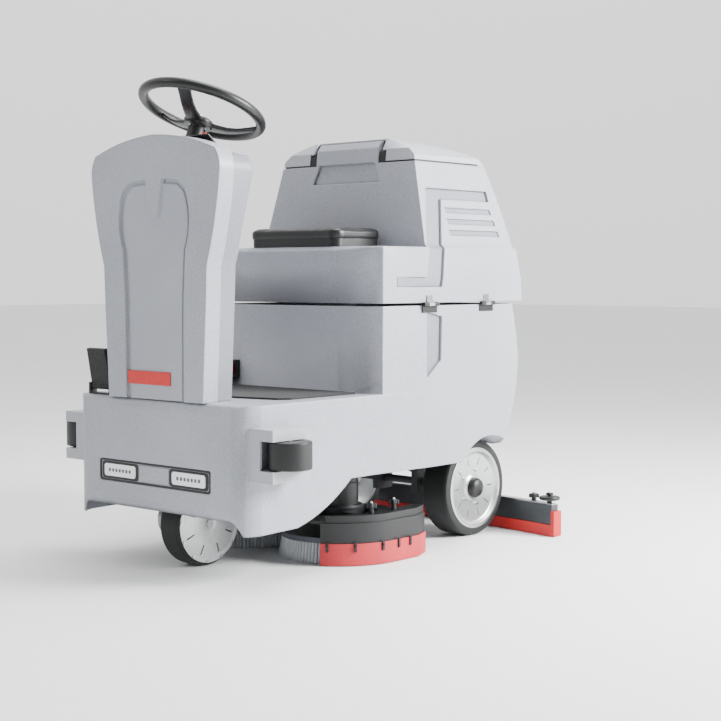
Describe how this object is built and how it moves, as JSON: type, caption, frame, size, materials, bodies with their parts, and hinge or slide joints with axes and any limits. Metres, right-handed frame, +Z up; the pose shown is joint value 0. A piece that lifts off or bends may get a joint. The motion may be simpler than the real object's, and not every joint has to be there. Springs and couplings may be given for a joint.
{
  "type": "ride-on floor scrubber",
  "caption": "Ride-on floor scrubber with a steering column, side-tilting recovery tank, twin disc brushes with side skirts and a curved rear squeegee.",
  "frame": {"origin": "on the floor, in the middle of the overall box", "axes": "+Z up; the machine drives towards -Y; the driver's left is +X"},
  "size_m": [1, 1.25, 1.32],
  "materials": {
    "shell": "fine-textured moulded polyethylene",
    "shell_shade": "fine-textured moulded polyethylene",
    "lid": "fine-textured moulded polyethylene",
    "bracket": "moulded, satin",
    "frame": "powder coated",
    "black_metal": "powder coated",
    "black_plastic": "satin",
    "mat": "ribbed rubber",
    "seat": "synthetic leather, soft",
    "tyre": "moulded rubber",
    "rim": "pearl silver lacquer",
    "cast": "cast and machined",
    "bright": "brushed",
    "strip": "anodised",
    "lens": "clear ribbed lens",
    "red_plastic": "moulded",
    "red_rubber": "moulded polyurethane",
    "blade_rubber": "moulded polyurethane",
    "bristle": "nylon filaments",
    "disc": "moulded",
    "grey_metal": "powder coated"
  },
  "bodies": {
    "base": {"chassis_frame": "frame", "lower_body": "shell", "floor_mat": "mat", "column_front_cover": "shell", "column_rear_cover": "shell_shade", "badge_plate": "red_plastic", "headlamp_bezel": "black_plastic", "headlamp_lenses": "lens", "control_panel": "black_plastic", "steering_jacket": "black_metal", "roller_brackets": "bracket", "batteries": "black_plastic", "connector_socket": "black_plastic", "solution_pump": "black_plastic", "hinge_leaves_body": "bright", "pedal_bracket": "black_metal", "steering_chain": "bright"},
    "steering": {"steering_wheel": "black_plastic", "steering_shaft": "bright"},
    "horn": {"horn_button": "bright"},
    "lower_shaft": {"steering_lower_shaft": "bright"},
    "fork": {"front_fork": "cast", "drive_motor": "cast"},
    "drive_wheel": {"front_tyre": "tyre", "front_rim": "rim"},
    "rear_wheel_left": {"rear_tyre_left": "tyre", "rear_rim_left": "rim", "hub_cap_left": "black_plastic"},
    "rear_wheel_right": {"rear_tyre_right": "tyre", "rear_rim_right": "rim", "hub_cap_right": "black_plastic"},
    "roller_left": {"guide_roller_left": "black_plastic"},
    "roller_right": {"guide_roller_right": "black_plastic"},
    "pedal": {"accelerator_pedal": "mat"},
    "plug": {"connector_plug": "red_plastic"},
    "key": {"ignition_key": "bright"},
    "stop": {"stop_button": "red_plastic"},
    "tank": {"recovery_tank": "shell", "hinge_leaves_tank": "bright", "seat_pad": "seat", "vacuum_motor": "black_plastic"},
    "lid": {"tank_lid": "lid"},
    "deck_arms": {"deck_lift_arms": "black_metal"},
    "deck": {"brush_deck": "black_metal", "brush_motors": "black_metal", "skirt_holders": "black_plastic", "skirt_rubbers": "red_rubber", "skirt_fasteners": "black_plastic"},
    "brush_left": {"brush_disc_left": "disc", "bristles_left": "bristle"},
    "brush_right": {"brush_disc_right": "disc", "bristles_right": "bristle"},
    "squeegee_carrier": {"squeegee_arms": "black_metal"},
    "squeegee": {"squeegee_body": "grey_metal", "squeegee_strip": "strip", "squeegee_blade": "blade_rubber", "squeegee_knobs": "black_plastic", "suction_hose": "black_plastic"},
    "end_roller_left": {"squeegee_roller_left": "black_plastic"},
    "end_roller_right": {"squeegee_roller_right": "black_plastic"}
  },
  "joints": [
    {"name": "steering_turn", "type": "hinge", "parent": "base", "child": "steering", "pos_m": [0, -0.44, 1.24687], "axis": [0, 0.3584, 0.9336], "range_deg": [-195, 195]},
    {"name": "horn_press", "type": "slide", "parent": "steering", "child": "horn", "axis": [0, -0.3584, -0.9336], "range_m": [0, 0.002], "stiffness_N_per_m": 1500, "springref_m": -0.002},
    {"name": "lower_shaft_turn", "type": "hinge", "parent": "base", "child": "lower_shaft", "pos_m": [0, -0.52422, 0.5], "axis": [0, 0, 1], "range_deg": [-195, 195]},
    {"name": "fork_turn", "type": "hinge", "parent": "base", "child": "fork", "pos_m": [0, -0.457, 0.236], "axis": [0, 0, 1], "range_deg": [-65, 65]},
    {"name": "drive_wheel_spin", "type": "hinge", "parent": "fork", "child": "drive_wheel", "pos_m": [0, -0.457, 0.117], "axis": [1, 0, 0], "continuous": true},
    {"name": "rear_wheel_left_spin", "type": "hinge", "parent": "base", "child": "rear_wheel_left", "pos_m": [0.25, 0.41, 0.147], "axis": [1, 0, 0], "continuous": true},
    {"name": "rear_wheel_right_spin", "type": "hinge", "parent": "base", "child": "rear_wheel_right", "pos_m": [-0.25, 0.41, 0.147], "axis": [1, 0, 0], "continuous": true},
    {"name": "roller_left_spin", "type": "hinge", "parent": "base", "child": "roller_left", "pos_m": [0.41, -0.523, 0.341], "axis": [0, 0, 1], "continuous": true},
    {"name": "roller_right_spin", "type": "hinge", "parent": "base", "child": "roller_right", "pos_m": [-0.41, -0.523, 0.341], "axis": [0, 0, 1], "continuous": true},
    {"name": "pedal_press", "type": "hinge", "parent": "base", "child": "pedal", "pos_m": [-0.261, -0.583, 0.487], "axis": [1, 0, 0], "range_deg": [0, 10], "stiffness_Nm_per_rad": 3, "springref_deg": -11.46},
    {"name": "plug_pull", "type": "slide", "parent": "base", "child": "plug", "axis": [0, -1, 0], "range_m": [0, 0.03]},
    {"name": "key_turn", "type": "hinge", "parent": "base", "child": "key", "pos_m": [-0.11, -0.53753, 1.14666], "axis": [0, 0.6321, 0.7749], "range_deg": [0, 60]},
    {"name": "stop_press", "type": "slide", "parent": "base", "child": "stop", "axis": [0, -0.6321, -0.7749], "range_m": [0, 0.004], "stiffness_N_per_m": 1500, "springref_m": -0.002},
    {"name": "tank_tilt", "type": "hinge", "parent": "base", "child": "tank", "pos_m": [0.357, 0.122, 0.714], "axis": [0, 1, 0], "range_deg": [0, 75]},
    {"name": "lid_open", "type": "hinge", "parent": "tank", "child": "lid", "pos_m": [0, 0.493, 1.134], "axis": [-1, 0, 0], "range_deg": [0, 80]},
    {"name": "deck_lift", "type": "hinge", "parent": "base", "child": "deck_arms", "pos_m": [0, 0.14, 0.268], "axis": [-1, 0, 0], "range_deg": [0, 13]},
    {"name": "deck_level", "type": "hinge", "parent": "deck_arms", "child": "deck", "pos_m": [0, -0.085, 0.16], "axis": [-1, 0, 0], "range_deg": [-13, 0]},
    {"name": "brush_left_spin", "type": "hinge", "parent": "deck", "child": "brush_left", "pos_m": [0.185, -0.085, 0.06], "axis": [0, 0, 1], "continuous": true},
    {"name": "brush_right_spin", "type": "hinge", "parent": "deck", "child": "brush_right", "pos_m": [-0.185, -0.085, 0.06], "axis": [0, 0, 1], "continuous": true},
    {"name": "squeegee_lift", "type": "hinge", "parent": "base", "child": "squeegee_carrier", "pos_m": [0, 0.302, 0.268], "axis": [1, 0, 0], "range_deg": [0, 12]},
    {"name": "squeegee_swing", "type": "hinge", "parent": "squeegee_carrier", "child": "squeegee", "pos_m": [0, 0.591, 0.11], "axis": [0, 0, 1], "range_deg": [-2, 2]},
    {"name": "end_roller_left_spin", "type": "hinge", "parent": "squeegee", "child": "end_roller_left", "pos_m": [0.466, 0.55957, 0.11], "axis": [0, 0, 1], "continuous": true},
    {"name": "end_roller_right_spin", "type": "hinge", "parent": "squeegee", "child": "end_roller_right", "pos_m": [-0.466, 0.55957, 0.11], "axis": [0, 0, 1], "continuous": true}
  ],
  "couplings": [
    {"joint": "steering_turn", "follows": "fork_turn", "ratio": 3},
    {"joint": "lower_shaft_turn", "follows": "fork_turn", "ratio": 3},
    {"joint": "deck_level", "follows": "deck_lift", "ratio": -1}
  ]
}
